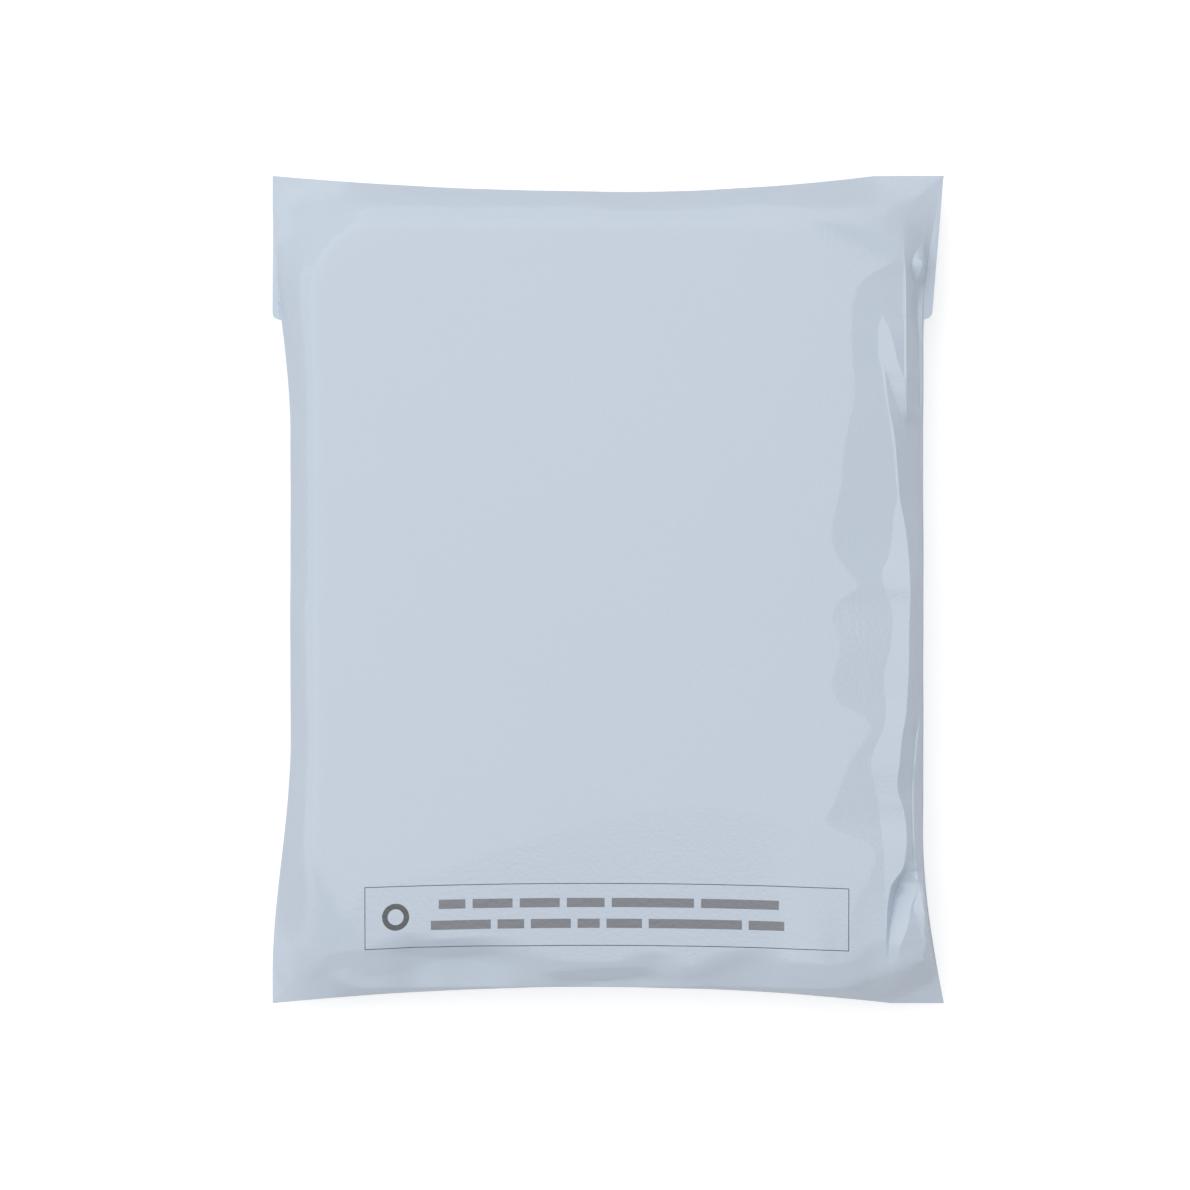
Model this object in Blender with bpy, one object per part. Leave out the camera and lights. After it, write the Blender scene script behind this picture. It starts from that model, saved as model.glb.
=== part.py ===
"""Packed poly mailer bag, lying on its back with the closing flap underneath.

Metres, +Z up. The origin is on the surface that the bag lies on, under its middle.
+X runs across the bag and +Y to the top fold, where the film turns over to become the flap.

Film, flap and load are one sealed pack, so they are one closed solid. It is shaped from a box that is
cut into a grid: its top is the front film, its bottom the back film, and its sides the welded edges.
"""

import math

import bmesh
import bpy

# The flat bag, before it was filled
BAG_WIDTH = 0.305
BAG_LENGTH = 0.376
EDGE_THICKNESS = 0.0004
WELD_BEAD = 0.0003
WELD_FIN = 0.0005

# The load, as the film shows it
LOAD_HEIGHT = 0.0400
CROWN = 0.0016
SEAM_HEIGHT = 0.025
CORNER_HEIGHT = 0.016
LEFT_GAP = 0.015
TOP_GAP = 0.020
FOLDED_GAP = 0.0004
LOAD_CORNER_RADIUS = 0.020
LEAST_BODY = 0.001
SLOPE_POWER = 2.2
CORNER_SLOPE_POWER = 1.5

# The empty corners of the bag slope down from the load to flat ears at their tips. The heading is 90
# where a corner falls towards the top or bottom edge, and 0 where it falls towards the side
CORNERS = (
    {"side": -1, "end": 1, "slope": 32.0, "heading": 45.0, "ear": 0.004},
    {"side": 1, "end": 1, "slope": 33.0, "heading": 60.0, "ear": 0.005},
    {"side": -1, "end": -1, "slope": 30.0, "heading": 30.0, "ear": 0.006},
    {"side": 1, "end": -1, "slope": 36.0, "heading": 45.0, "ear": 0.008},
)
CORNER_TIP = 0.0175
CORNER_ROUNDING = 0.003

# How far the load draws each edge in, and how far from the corners that takes
LEFT_DRAW = 0.0087
LEFT_DRAW_START = 0.012
LEFT_DRAW_END = 0.120
LEFT_DRAW_POWER = 2.0
RIGHT_DRAW = 0.0100
RIGHT_DRAW_START = 0.0
RIGHT_DRAW_END = 0.077
RIGHT_DRAW_POWER = 1.0
TOP_DRAW = 0.0080
TOP_DRAW_LEFT_REACH = 0.160
TOP_DRAW_RIGHT_REACH = 0.114
BOTTOM_DRAW = 0.0082
BOTTOM_DRAW_LEFT_REACH = 0.149
BOTTOM_DRAW_RIGHT_REACH = 0.132

# The underside curves up to the seam over these widths, in gathers that widen and narrow them.
# A wave is (length, share of the whole, turn)
LEFT_BELLY = 0.034
RIGHT_BELLY = 0.020
TOP_BELLY = 0.036
BOTTOM_BELLY = 0.022
BELLY_POWER = 0.8
GATHER = 0.22
GATHER_WAVES = ((0.031, 0.5, 0.4), (0.0175, 0.3, 1.3), (0.053, 0.4, 2.1))
RIGHT_GATHER_SHIFT = 0.021
TOP_GATHER_SHIFT = 0.013
SEAM_SWAY = 0.0013
SEAM_WAVES = ((0.083, 0.7, 0.9), (0.037, 0.35, 2.6), (0.148, 0.6, 0.2))

# The flap, glued down on the back. Its sides stay straight, so it shows beside the drawn-in body
FLAP_LENGTH = 0.0655
FLAP_RIGHT_TAPER = 0.0060
FLAP_CORNER_RADIUS = 0.0030
FLAP_THICKNESS = 0.0003
FLAP_STEP = 0.0004
FLAP_STEP_LENGTH = 0.0006
FLAP_STEP_FADE = 0.010

# Grid of the film, as zones of (how far from the left or bottom edge this one reaches, cells in it).
# Past the last plain column, columns follow the lines of the right wall
PLAIN_COLUMNS = ((0.002, 1), (0.045, 8), (0.247, 13))
WALL_COLUMNS = (2, 4, 3, 2, 2, 2, 2, 1, 1)
ROWS = (
    (0.045, 14),
    (0.080, 8),
    (BAG_LENGTH - FLAP_LENGTH - FLAP_STEP_LENGTH, 26),
    (BAG_LENGTH - FLAP_LENGTH, 1),
    (BAG_LENGTH - FLAP_LENGTH + FLAP_CORNER_RADIUS, 2),
    (BAG_LENGTH - 0.004, 10),
    (BAG_LENGTH, 2),
)
FOLLOW_PASSES = 3

FILM_COLOUR = (0.552, 0.617, 0.708, 1.0)
FILM_ROUGHNESS = 0.3
SHARP_ANGLE = math.radians(40.0)

# Folds shape the right and bottom walls of the load. A wall is strips of film between lines, in order
# from the load's top out to the weld. Past its line, each strip falls away by its slopes in degrees, or
# rises where they are below 0. Tables of folds are in millimetres
MM = 0.001

# Lines are (Y, X), and slopes (Y, degrees)
RIGHT_WALL = (
    {
        "name": "shoulder",
        "line": (
            (188, 146),
            (160, 128),
            (142, 113),
            (117, 109),
            (60, 106),
            (14, 104),
            (3, 111),
            (-6, 105),
            (-45, 101),
            (-60, 116),
            (-95, 102),
            (-107, 100),
            (-116, 116),
            (-140, 112),
            (-188, 104),
        ),
        "slopes": ((188, 3), (122, 6), (8, 5), (0, 3), (-12, 5), (-110, 4), (-188, 2)),
    },
    {
        "name": "foot of the long fold",
        "line": (
            (188, 148),
            (140, 122.6),
            (110, 121.4),
            (90, 124.3),
            (53, 129.3),
            (36, 129),
            (8, 123.6),
            (-9, 128),
            (-40, 124.5),
            (-60, 124),
            (-78, 118),
            (-108, 122.8),
            (-133, 124.4),
            (-188, 124),
        ),
        "slopes": ((125, 6), (121, -10), (86, -18), (60, -20), (30, -5), (-128, -5), (-156, 4)),
    },
    {
        "name": "crest of the long fold",
        "line": (
            (188, 148.4),
            (140, 123),
            (118, 122.9),
            (98, 124.3),
            (74, 127.9),
            (39, 131.5),
            (24, 134.2),
            (0, 135.7),
            (-47, 134.5),
            (-67, 131.9),
            (-88, 129.9),
            (-108, 134),
            (-122, 133),
            (-134, 127.2),
            (-188, 125),
        ),
        "slopes": (
            (125, 6),
            (121, -10),
            (102, -10),
            (98, 24),
            (74, 42),
            (-120, 50),
            (-152, 60),
            (-158, 8),
        ),
    },
    {
        "name": "foot of the upper arm and of the corner fold",
        "line": (
            (188, 148.8),
            (140, 123.4),
            (118, 123.2),
            (100, 124.4),
            (86, 128.8),
            (77, 132.4),
            (24, 136.4),
            (-37, 136.6),
            (-91, 132.6),
            (-108, 135.6),
            (-122, 134.6),
            (-133, 131.1),
            (-145, 127.9),
            (-188, 128),
        ),
        "slopes": (
            (125, 6),
            (121, -11),
            (77, -14),
            (73, 42),
            (-122, 50),
            (-126, -16),
            (-152, -20),
            (-164, 3),
        ),
    },
    {
        "name": "crest of the upper arm and of the corner fold",
        "line": (
            (188, 149.2),
            (140, 124),
            (122, 123.5),
            (110, 128.4),
            (97, 132.8),
            (24, 136.8),
            (-37, 137),
            (-91, 133.1),
            (-108, 136.1),
            (-122, 135.4),
            (-130, 137.6),
            (-142, 136.5),
            (-160, 131),
            (-188, 129),
        ),
        "slopes": (
            (160, 6),
            (124, 8),
            (97, 30),
            (74, 42),
            (-122, 50),
            (-128, 40),
            (-141, 22),
            (-172, 3),
        ),
    },
    {
        "name": "edge facet",
        "line": (
            (188, 150.2),
            (168, 135),
            (78, 134.2),
            (24, 137.6),
            (0, 138.4),
            (-37, 137.8),
            (-67, 135.8),
            (-91, 134.1),
            (-108, 136.9),
            (-122, 136.2),
            (-130, 138),
            (-142, 137.3),
            (-170, 146.2),
            (-188, 149.3),
        ),
        "slopes": (
            (168, 5),
            (158, 20),
            (140, 50),
            (80, 58),
            (74, 44),
            (4, 58),
            (-122, 46),
            (-130, 0),
            (-170, 8),
        ),
    },
)

# Lines are (X, distance below the middle of the bag), and slopes (X, degrees)
BOTTOM_WALL = (
    {
        "name": "shoulder",
        "line": ((-152, 190), (-134, 172), (-119, 150), (-95, 132), (118, 132), (152, 170)),
        "slopes": ((-140, 1), (-100, 2.3), (60, 2.3), (84, 0.4), (118, 2.2), (150, 1)),
    },
    {
        "name": "first fall",
        "line": (
            (-152, 191),
            (-134, 174),
            (-119, 163),
            (-96, 157.2),
            (-50, 157.6),
            (-27, 166.6),
            (10, 165),
            (19, 162.6),
            (32, 169.2),
            (55, 163.5),
            (71, 163.5),
            (86, 168),
            (104, 169.2),
            (123, 159),
            (152, 176),
        ),
        "slopes": ((-140, 6), (-126, 18), (-100, 28), (70, 30), (84, 22), (108, 14), (152, 3)),
    },
    {
        "name": "creases",
        "line": (
            (-152, 192),
            (-110, 166),
            (-89, 158.6),
            (-67, 157.6),
            (-44, 163.6),
            (-28, 171.6),
            (10, 168),
            (32, 173.2),
            (57, 165.5),
            (72, 174.6),
            (114, 177),
            (152, 186),
        ),
        "slopes": (
            (-140, 6),
            (-96, 44),
            (-50, 44),
            (-40, 30),
            (-20, 56),
            (14, 54),
            (24, 38),
            (62, 40),
            (110, 16),
            (152, 4),
        ),
    },
    {
        "name": "swell",
        "line": (
            (-152, 194),
            (-119, 169.4),
            (-112, 173.9),
            (-80, 168.1),
            (-49, 168.6),
            (-28, 177.2),
            (60, 182),
            (152, 190),
        ),
        "slopes": ((-140, 5), (-46, 4), (-30, 34), (70, 24), (108, 14), (152, 3)),
    },
)
SHOULDER_ROUNDING = 0.004
DROP_WIDTH = 0.0004
LEAST_STRIP = 0.00015
TINY = 1e-9


def clear_scene():
    for old in list(bpy.data.objects):
        bpy.data.objects.remove(old, do_unlink=True)


def clamp(value):
    return max(0.0, min(1.0, value))


def mix(start, end, share):
    return start + (end - start) * share


def smooth(share):
    """Eases from 0 to 1 with a level start and end."""
    share = clamp(share)
    return share * share * (3.0 - 2.0 * share)


def soft_ramp(distance, rounding):
    """0 before 0 and distance past it, with a rounded bend."""
    rounded = 0.5 * (distance + math.hypot(distance, rounding))
    return rounded - 0.5 * rounding * math.exp(-abs(distance) / rounding)


def soft_least(first, second, rounding):
    """The lower of the two, with a rounded bend where they cross."""
    return 0.5 * (first + second - math.hypot(first - second, rounding))


def wave(run, waves):
    return sum(share * math.sin(2 * math.pi * run / length + turn) for length, share, turn in waves)


def between(points, run):
    """The value at this run, on straight lines between points of (run, value)."""
    points = sorted(points)
    if run <= points[0][0]:
        return points[0][1]
    for (start, first), (end, second) in zip(points, points[1:]):
        if run <= end:
            return mix(first, second, (run - start) / (end - start))
    return points[-1][1]


def side_draw_share(along, start, end, power):
    """How far a side edge is drawn in, this far from the bottom corner, as a share of its most."""
    from_corner = min(along, BAG_LENGTH - along)
    turn = clamp((from_corner - start) / (end - start)) * math.pi / 2
    return math.sin(turn) ** power


def left_share(along):
    return side_draw_share(along, LEFT_DRAW_START, LEFT_DRAW_END, LEFT_DRAW_POWER)


def right_share(along):
    return side_draw_share(along, RIGHT_DRAW_START, RIGHT_DRAW_END, RIGHT_DRAW_POWER)


def end_share(across, left_reach, right_reach):
    """The same for the top or bottom edge: a parabola each side of its deepest place."""
    deepest = left_reach / (left_reach + right_reach) * (BAG_WIDTH - end_flat(left_reach, right_reach))
    offset = across - deepest
    reach = left_reach if offset < 0 else right_reach
    return 1.0 - clamp(abs(offset) / reach) ** 2


def end_flat(left_reach, right_reach):
    """The stretch at the right corner that stays straight, because the load doesn't reach it."""
    return max(0.0, BAG_WIDTH - left_reach - right_reach)


def top_share(across):
    return end_share(across, TOP_DRAW_LEFT_REACH, TOP_DRAW_RIGHT_REACH)


def bottom_share(across):
    return end_share(across, BOTTOM_DRAW_LEFT_REACH, BOTTOM_DRAW_RIGHT_REACH)


def left_edge(along):
    return -BAG_WIDTH / 2 + LEFT_DRAW * left_share(along)


def right_edge(along):
    return BAG_WIDTH / 2 - RIGHT_DRAW * right_share(along)


def top_edge(across):
    return BAG_LENGTH / 2 - TOP_DRAW * top_share(across)


def bottom_edge(across):
    return -BAG_LENGTH / 2 + BOTTOM_DRAW * bottom_share(across)


def flap_edges(along):
    """(left, right) of the flap at this row, or None below its free end."""
    up = along - (BAG_LENGTH - FLAP_LENGTH)
    if up < -FLAP_STEP_LENGTH / 2:
        return None
    short = FLAP_CORNER_RADIUS - min(max(up, 0.0), FLAP_CORNER_RADIUS)
    rounding = FLAP_CORNER_RADIUS - math.sqrt(FLAP_CORNER_RADIUS**2 - short**2)
    taper = FLAP_RIGHT_TAPER * (1.0 - max(up, 0.0) / FLAP_LENGTH)
    return -BAG_WIDTH / 2 + rounding, BAG_WIDTH / 2 - taper - rounding


def outer_edges(along, bead):
    """(left, right) of the whole bag at this row: of the flap where it is wider, else of the welds."""
    left, right = left_edge(along) - bead, right_edge(along) + bead
    flap = flap_edges(along)
    if flap is None:
        return left, right
    return min(left, flap[0]), max(right, flap[1])


def film_y(across, along):
    return mix(bottom_edge(across), top_edge(across), along / BAG_LENGTH)


def seam_height(across, along):
    """Height of the welded edge: low at the corner tips, higher beside the load, and swaying a little."""
    side = mix(left_share(along), right_share(along), across / BAG_WIDTH)
    end = mix(bottom_share(across), top_share(across), along / BAG_LENGTH)
    raised = 1.0 - (1.0 - side) * (1.0 - end)
    sway = wave(along + across, SEAM_WAVES) * SEAM_SWAY
    return mix(CORNER_HEIGHT, SEAM_HEIGHT, raised) + sway * raised


def slope_share(x, y, across, along):
    """(share, power): share is 1 where the film meets itself at the edges, and 0 on the load."""
    load_left = -BAG_WIDTH / 2 + LEFT_DRAW + LEFT_GAP
    load_right = BAG_WIDTH / 2 - RIGHT_DRAW - WELD_FIN - FOLDED_GAP
    load_top = BAG_LENGTH / 2 - TOP_DRAW - TOP_GAP
    load_bottom = -BAG_LENGTH / 2 + BOTTOM_DRAW + FOLDED_GAP
    to_side = min(x - left_edge(along), right_edge(along) - x) - WELD_FIN
    to_end = min(top_edge(across) - y, y - bottom_edge(across))
    beside = max(load_left - x, x - load_right) + LOAD_CORNER_RADIUS
    beyond = max(load_bottom - y, y - load_top) + LOAD_CORNER_RADIUS
    out = max(math.hypot(max(beside, 0.0), max(beyond, 0.0)) - LOAD_CORNER_RADIUS, 0.0)
    share = out / (out + max(min(to_side, to_end), TINY))
    at_corner = smooth(min(beside, beyond) / LOAD_CORNER_RADIUS)
    return share, mix(SLOPE_POWER, CORNER_SLOPE_POWER, at_corner)


def corner_height(corner, x, y):
    """Height of the film over an empty corner: a slope that ends in a flat ear."""
    heading = math.radians(corner["heading"])
    beside = BAG_WIDTH / 2 - corner["side"] * x
    beyond = BAG_LENGTH / 2 - corner["end"] * y
    from_tip = math.cos(heading) * beside + math.sin(heading) * beyond
    past_ear = soft_ramp(from_tip - corner["ear"], CORNER_ROUNDING)
    return CORNER_TIP + math.tan(math.radians(corner["slope"])) * past_ear


def line_places(wall, run):
    """Where each line of a wall lies at this run, each a little past the one before it."""
    places = []
    for strip in wall:
        place = between(strip["line"], run / MM) * MM
        if places:
            place = max(place, places[-1] + LEAST_STRIP)
        places.append(place)
    return places


def right_places(y, along):
    """Where each line of the right wall lies, kept inside the weld."""
    furthest = right_edge(along) - WELD_FIN - DROP_WIDTH
    places = line_places(RIGHT_WALL, y)
    return [min(place, furthest - LEAST_STRIP * (len(places) - n)) for n, place in enumerate(places)]


def wall_fall(wall, places, run, distance):
    """Height that a wall loses this far out, strip by strip, with its first bend rounded."""
    beyond = [max(distance - place, 0.0) for place in places] + [0.0]
    beyond[0] = soft_ramp(distance - places[0], SHOULDER_ROUNDING)
    fall = 0.0
    for n, strip in enumerate(wall):
        steepness = math.tan(math.radians(between(strip["slopes"], run / MM)))
        fall += steepness * (beyond[n] - beyond[n + 1])
    return fall


def front_height(x, y, across, along):
    seam = seam_height(across, along) + EDGE_THICKNESS / 2
    share, power = slope_share(x, y, across, along)
    middle = (1.0 - (2 * across / BAG_WIDTH - 1.0) ** 2) * (1.0 - (2 * along / BAG_LENGTH - 1.0) ** 2)
    top = LOAD_HEIGHT + CROWN * middle
    for corner in CORNERS:
        top = soft_least(top, corner_height(corner, x, y), CORNER_ROUNDING)
    top -= wall_fall(RIGHT_WALL, right_places(y, along), y, x)
    top -= wall_fall(BOTTOM_WALL, line_places(BOTTOM_WALL, x), x, -y)
    return seam + (1.0 - share**power) * max(top - seam, LEAST_BODY)


def belly_share(x, y, across, along):
    """1 at the seam and 0 where the underside lies flat."""
    left = (x - left_edge(along)) / (LEFT_BELLY * (1 + GATHER * wave(y, GATHER_WAVES)))
    right_gather = GATHER * wave(y + RIGHT_GATHER_SHIFT, GATHER_WAVES)
    right = (right_edge(along) - x) / (RIGHT_BELLY * (1 + right_gather))
    bottom = (y - bottom_edge(across)) / (BOTTOM_BELLY * (1 + GATHER * wave(x, GATHER_WAVES)))
    top_gather = GATHER * wave(x + TOP_GATHER_SHIFT, GATHER_WAVES)
    top = (top_edge(across) - y) / (TOP_BELLY * (1 + top_gather))
    out = min(math.hypot(1.0 - clamp(min(left, right)), 1.0 - clamp(min(bottom, top))), 1.0)
    return (1.0 - math.sqrt(1.0 - out**2)) ** BELLY_POWER


def back_height(x, y, across, along):
    below_flap = BAG_LENGTH - FLAP_LENGTH - along
    lift = FLAP_STEP * clamp(1.0 - below_flap / FLAP_STEP_FADE) if below_flap > 0 else 0.0
    seam = seam_height(across, along) - EDGE_THICKNESS / 2
    return mix(lift, seam, belly_share(x, y, across, along))


def spread(zones):
    """Grid lines from 0 through each zone, given as (end, cells)."""
    lines = [0.0]
    for end, cells in zones:
        first = lines[-1]
        lines += [mix(first, end, (step + 1) / cells) for step in range(cells)]
    return lines


def followed_column(line, share, along):
    """Distance across the bag, as flat, of a column that lies this share of the way past a line."""
    left, right = left_edge(along), right_edge(along)
    plain_end = mix(left, right, PLAIN_COLUMNS[-1][0] / BAG_WIDTH)
    across = BAG_WIDTH
    for _ in range(FOLLOW_PASSES):
        folds = right_places(film_y(across, along), along)
        places = [plain_end, *folds, right - WELD_FIN - DROP_WIDTH, right - WELD_FIN, right]
        x = mix(places[line], places[line + 1], share)
        across = (x - left) / (right - left) * BAG_WIDTH
    return across


def column_lines(along):
    """Distances across the bag, as flat, of the grid columns on this row."""
    columns = spread(PLAIN_COLUMNS)
    for line, cells in enumerate(WALL_COLUMNS):
        columns += [followed_column(line, (step + 1) / cells, along) for step in range(cells)]
    return columns


def cut_box(mesh, axis, cuts):
    """Cuts every edge that runs along this axis, and the faces between them."""
    along_axis = [
        edge for edge in mesh.edges if abs(edge.verts[0].co[axis] - edge.verts[1].co[axis]) > TINY
    ]
    bmesh.ops.subdivide_edges(mesh, edges=along_axis, cuts=cuts, use_grid_fill=True)


def shaped_point(across, along, level, on_side):
    """Where a point of the box goes. Level 0 is the back, 1 the welded edge and 2 the front."""
    bead = WELD_BEAD if level == 1 else 0.0
    left, right = (left_edge(along), right_edge(along)) if level == 2 else outer_edges(along, bead)
    x = mix(left, right, across / BAG_WIDTH)
    y = mix(bottom_edge(across) - bead, top_edge(across) + bead, along / BAG_LENGTH)
    if level == 2:
        return x, y, front_height(x, y, across, along)
    if level == 1:
        return x, y, seam_height(across, along)
    if on_side and flap_edges(along) is not None:
        return x, y, seam_height(across, along) - FLAP_THICKNESS
    return x, y, back_height(x, y, across, along)


def film_material():
    material = bpy.data.materials.new("mailer_film")
    material.use_nodes = True
    shader = material.node_tree.nodes["Principled BSDF"]
    shader.inputs["Base Color"].default_value = FILM_COLOUR
    shader.inputs["Roughness"].default_value = FILM_ROUGHNESS
    shader.inputs["Metallic"].default_value = 0.0
    return material


def mailer_bag(collection):
    rows = spread(ROWS)
    columns = [column_lines(along) for along in rows]
    last_column, last_row = len(columns[0]) - 1, len(rows) - 1
    box = bmesh.new()
    bmesh.ops.create_cube(box, size=2.0)
    cut_box(box, 0, last_column - 1)
    cut_box(box, 1, last_row - 1)
    cut_box(box, 2, 1)
    for point in box.verts:
        column = round((point.co.x + 1.0) / 2 * last_column)
        row = round((point.co.y + 1.0) / 2 * last_row)
        level = round(point.co.z + 1.0)
        on_side = column in (0, last_column)
        point.co = shaped_point(columns[row][column], rows[row], level, on_side)
    mesh = bpy.data.meshes.new("mailer_bag")
    box.to_mesh(mesh)
    box.free()
    mesh.shade_smooth()
    mesh.set_sharp_from_angle(angle=SHARP_ANGLE)
    mesh.materials.append(film_material())
    bag = bpy.data.objects.new("mailer_bag", mesh)
    collection.objects.link(bag)
    return bag


def main():
    clear_scene()
    collection = bpy.data.collections.new("poly_mailer_bag")
    bpy.context.scene.collection.children.link(collection)
    mailer_bag(collection)


main()
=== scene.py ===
"""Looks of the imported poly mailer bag: the film with its folds and print, a pale floor and soft light.

Metres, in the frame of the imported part: +Z out of the printed front, +Y to the top fold.
Fold tables are in millimetres, because they are read off the bag a fold at a time.
"""

import math

import bpy
import numpy as np
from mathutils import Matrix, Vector


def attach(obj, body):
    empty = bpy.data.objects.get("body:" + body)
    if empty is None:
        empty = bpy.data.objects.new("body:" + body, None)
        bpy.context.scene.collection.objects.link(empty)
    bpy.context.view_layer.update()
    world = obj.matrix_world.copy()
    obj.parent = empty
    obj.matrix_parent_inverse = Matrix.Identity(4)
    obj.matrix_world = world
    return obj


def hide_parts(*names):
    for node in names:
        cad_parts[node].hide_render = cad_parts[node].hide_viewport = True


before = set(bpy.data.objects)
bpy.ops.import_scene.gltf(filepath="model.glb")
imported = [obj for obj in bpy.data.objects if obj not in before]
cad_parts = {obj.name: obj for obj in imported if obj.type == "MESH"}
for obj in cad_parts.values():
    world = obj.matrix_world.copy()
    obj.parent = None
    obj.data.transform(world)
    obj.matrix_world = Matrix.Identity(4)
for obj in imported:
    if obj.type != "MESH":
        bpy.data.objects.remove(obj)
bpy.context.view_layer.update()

MM = 0.001

# The flat bag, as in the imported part
BAG_WIDTH = 0.305
BAG_LENGTH = 0.376
EDGE_THICKNESS = 0.0004
WELD_BEAD = 0.0002

# The load
LOAD_HEIGHT = 0.0400
CROWN = 0.0016
SEAM_HEIGHT = 0.025
CORNER_HEIGHT = 0.016
LEFT_GAP = 0.015
TOP_GAP = 0.020
FOLDED_GAP = 0.0003
LOAD_CORNER_RADIUS = 0.020
LEAST_BODY = 0.001

# The empty corners of the bag slope down from the load to flat ears at their tips. The heading is 90
# where a corner falls towards the top or bottom edge, and 0 where it falls towards the side. The tip is
# how high the film over the ear would stand if the weld didn't hold it down
CORNERS = (
    {"side": -1, "end": 1, "slope": 32.0, "heading": 45.0, "ear": 4.0, "tip": 17.5},
    {"side": 1, "end": 1, "slope": 27.0, "heading": 62.0, "ear": 7.0, "tip": 21.5},
    {"side": -1, "end": -1, "slope": 30.0, "heading": 30.0, "ear": 6.0, "tip": 17.5},
    {"side": 1, "end": -1, "slope": 47.0, "heading": 70.0, "ear": 9.5, "tip": 24.5},
)
CORNER_ROUNDING = 0.003
SLOPE_POWER = 2.2
CORNER_SLOPE_POWER = 1.5

# How far the load draws each edge in
LEFT_DRAW = 0.0087
LEFT_DRAW_START = 0.012
LEFT_DRAW_END = 0.120
LEFT_DRAW_POWER = 2.0
RIGHT_DRAW = 0.0100
RIGHT_DRAW_END = 0.077
TOP_DRAW = 0.0080
TOP_REACH = (0.160, 0.114)
BOTTOM_DRAW = 0.0082
BOTTOM_REACH = (0.149, 0.132)

# The flat fin of welded film that runs down each side
WELD_FIN = 0.0003

# Outline of the load's top. On the right and at the bottom the folds below shape the wall instead
LOAD_LEFT = -BAG_WIDTH / 2 + LEFT_DRAW + LEFT_GAP
LOAD_RIGHT = BAG_WIDTH / 2 - RIGHT_DRAW - WELD_FIN - FOLDED_GAP
LOAD_BOTTOM = -BAG_LENGTH / 2 + BOTTOM_DRAW + FOLDED_GAP
LOAD_TOP = BAG_LENGTH / 2 - TOP_DRAW - TOP_GAP

# The underside curves up to the seam over these widths, in gathers that widen and narrow them
LEFT_BELLY = 0.034
RIGHT_BELLY = 0.020
TOP_BELLY = 0.036
BOTTOM_BELLY = 0.022
BELLY_POWER = 0.8
GATHER = 0.22
GATHER_WAVES = ((0.031, 0.5, 0.4), (0.0175, 0.3, 1.3), (0.053, 0.4, 2.1))
RIGHT_GATHER_TURN = 0.021
TOP_GATHER_TURN = 0.013
SEAM_SWAY = 0.0013
SEAM_WAVES = ((0.083, 0.7, 0.9), (0.037, 0.35, 2.6), (0.148, 0.6, 0.2))
UNDER_RIPPLE = 0.0005
RIPPLE_WAVES = ((0.064, 0.6, 1.0), (0.041, 0.4, 2.2))
RIPPLE_TURN = 0.35

# The flap, glued down on the back
FLAP_LENGTH = 0.0655
FLAP_RIGHT_TAPER = 0.0060
FLAP_CORNER_RADIUS = 0.0030
FLAP_THICKNESS = 0.0003
FLAP_STEP = 0.0004
FLAP_STEP_LENGTH = 0.0006
FLAP_STEP_FADE = 0.010

# Grid of the film: (how far this zone reaches, cells in it)
PLAIN_COLUMNS = ((0.0005, 1), (0.004, 5), (0.045, 22), (0.247, 44))
ROW_ZONES = (
    (0.0003, 1),
    (0.0008, 1),
    (0.045, 66),
    (0.075, 30),
    (BAG_LENGTH - FLAP_LENGTH - FLAP_STEP_LENGTH, 125),
    (BAG_LENGTH - FLAP_LENGTH, 2),
    (BAG_LENGTH - FLAP_LENGTH + FLAP_CORNER_RADIUS, 4),
    (BAG_LENGTH - 0.0045, 30),
    (BAG_LENGTH - 0.0005, 5),
    (BAG_LENGTH, 1),
)

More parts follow.
